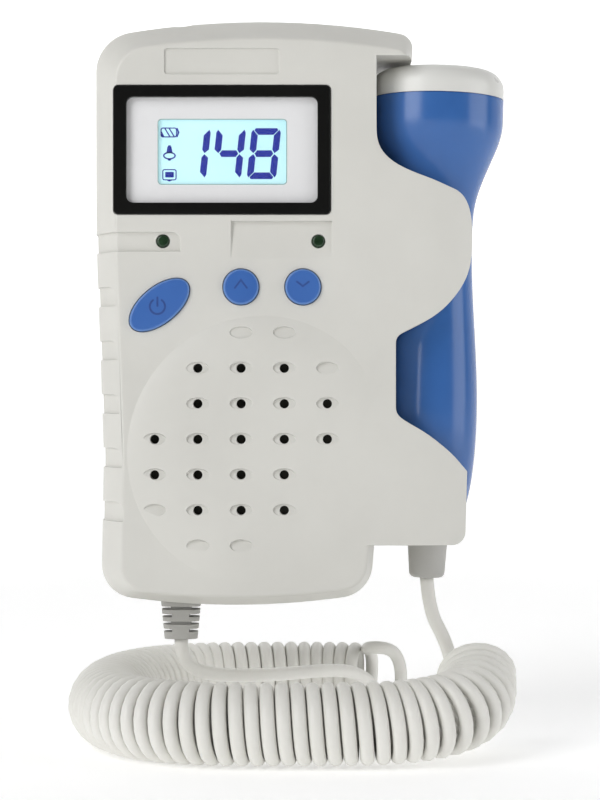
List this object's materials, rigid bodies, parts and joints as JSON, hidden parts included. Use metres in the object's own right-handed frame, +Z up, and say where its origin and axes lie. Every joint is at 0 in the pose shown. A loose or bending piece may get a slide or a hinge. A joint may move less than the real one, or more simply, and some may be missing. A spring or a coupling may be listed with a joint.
{
  "type": "handheld fetal doppler monitor",
  "caption": "Handheld fetal doppler monitor with display, buttons, speaker grille and battery bay, and a docked ultrasound probe on a curly cord.",
  "frame": {"origin": "on the flat back of the rear shell, on the centreline of the docked unit's view and 67 mm above its foot", "axes": "+X to the right seen from the front, towards the probe; +Y to the rear, out of the back; +Z up along the housing, towards the probe's head"},
  "size_m": [0.1081, 0.0961, 0.1687],
  "materials": {
    "housing": "fine matt grain",
    "bezel_black": "gloss",
    "lens": "clear acrylic window",
    "mask_grey": "printed grey",
    "lcd": "pale blue lit panel",
    "backlight": "diffuser white",
    "board": "green solder mask",
    "switch": "black",
    "speaker_metal": "pressed steel",
    "speaker_paper": "dark film",
    "magnet": "ferrite",
    "led_green": "tinted lens, unlit",
    "button_blue": "satin",
    "cover": "fine matt grain",
    "cell": "sleeved steel",
    "contact": "plated spring steel",
    "jack": "black",
    "screw": "zinc plated",
    "relief_grey": "soft grey",
    "probe_blue": "satin",
    "probe_white": "satin",
    "crystal": "ceramic",
    "backing": "potting compound",
    "cord_white": "soft off-white"
  },
  "bodies": {
    "unit": {"front_shell": "housing", "rear_shell": "housing", "display_bezel": "bezel_black", "display_lens": "lens", "lcd_mask": "mask_grey", "lcd_panel": "lcd", "backlight_panel": "backlight", "main_board": "board", "tact_switches": "switch", "speaker_frame": "speaker_metal", "speaker_cone": "speaker_paper", "speaker_magnet": "magnet", "power_led": "led_green", "signal_led": "led_green", "batteries": "cell", "battery_contacts": "contact", "headphone_jack": "jack", "case_screws": "screw", "unit_strain_relief": "relief_grey", "cord_lead": "cord_white", "curly_cord": "cord_white", "cord_tail": "cord_white"},
    "power_button": {"power_button": "button_blue"},
    "up_button": {"up_button": "button_blue"},
    "down_button": {"down_button": "button_blue"},
    "battery_cover": {"battery_cover": "cover"},
    "probe": {"probe_housing": "probe_blue", "probe_faceplate": "probe_white", "transducer_crystals": "crystal", "crystal_backing": "backing", "probe_board": "board", "probe_strain_relief": "relief_grey"}
  },
  "joints": [
    {"name": "power_button_press", "type": "slide", "parent": "unit", "child": "power_button", "axis": [0, 1, 0], "range_m": [0, 0.0008], "stiffness_N_per_m": 600},
    {"name": "up_button_press", "type": "slide", "parent": "unit", "child": "up_button", "axis": [0, 1, 0], "range_m": [0, 0.0008], "stiffness_N_per_m": 600},
    {"name": "down_button_press", "type": "slide", "parent": "unit", "child": "down_button", "axis": [0, 1, 0], "range_m": [0, 0.0008], "stiffness_N_per_m": 600},
    {"name": "battery_cover_slide", "type": "slide", "parent": "unit", "child": "battery_cover", "axis": [0, 0, -1], "range_m": [0, 0.012]},
    {"name": "probe_undock", "type": "slide", "parent": "unit", "child": "probe", "axis": [1, 0, 0], "range_m": [0, 0.03]}
  ]
}
